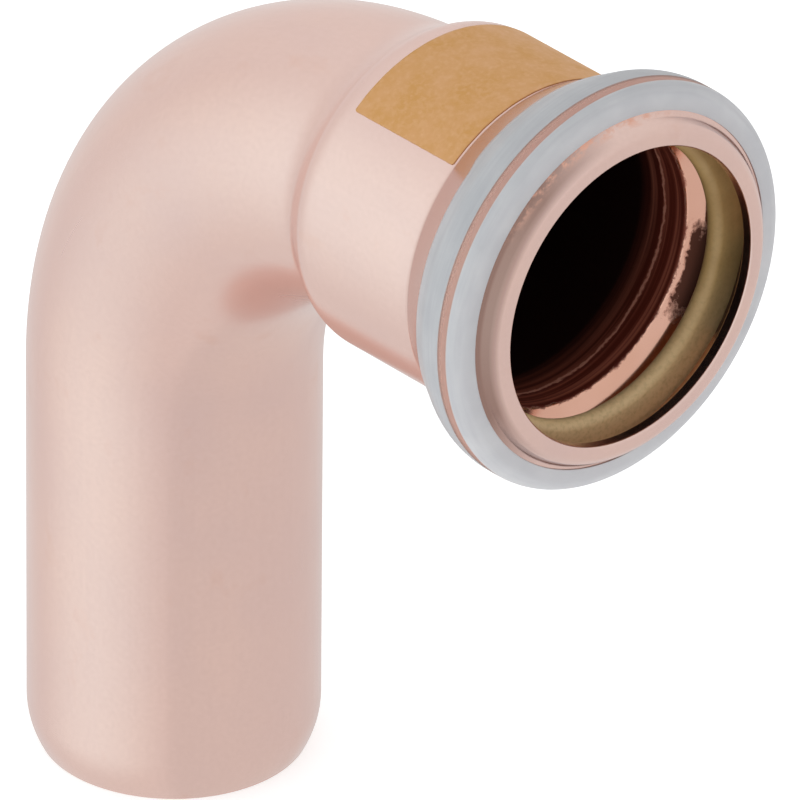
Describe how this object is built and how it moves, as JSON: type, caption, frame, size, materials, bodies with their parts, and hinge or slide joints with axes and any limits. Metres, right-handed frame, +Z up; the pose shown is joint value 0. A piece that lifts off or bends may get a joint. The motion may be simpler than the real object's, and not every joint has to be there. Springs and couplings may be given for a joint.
{
  "type": "press-fit copper street elbow",
  "caption": "Copper press elbow turning a pipe run by 90 degrees, with a plain tube end, and a press socket with a seated sealing ring and a film press indicator.",
  "frame": {"origin": "middle of the footprint, in the plane of the plain end's face", "axes": "+Z up along the plain end's tube axis, +X along the socket's axis out of the mouth, +Y completes a right-handed frame and is square to the plane of the bend"},
  "size_m": [0.0608, 0.0322, 0.0749],
  "materials": {
    "satin_copper": "bright-pickled copper with a satin sheen, drawn smooth on the tube",
    "seal_rubber": "moulded olive beige rubber, lightly greased",
    "white_film": "thin translucent white shrink film",
    "ochre_paint": "matt ochre marking ink"
  },
  "bodies": {
    "root": {"elbow_body": "satin_copper", "sealing_ring": "seal_rubber", "press_indicator": "white_film", "marking_patch": "ochre_paint"}
  },
  "joints": []
}
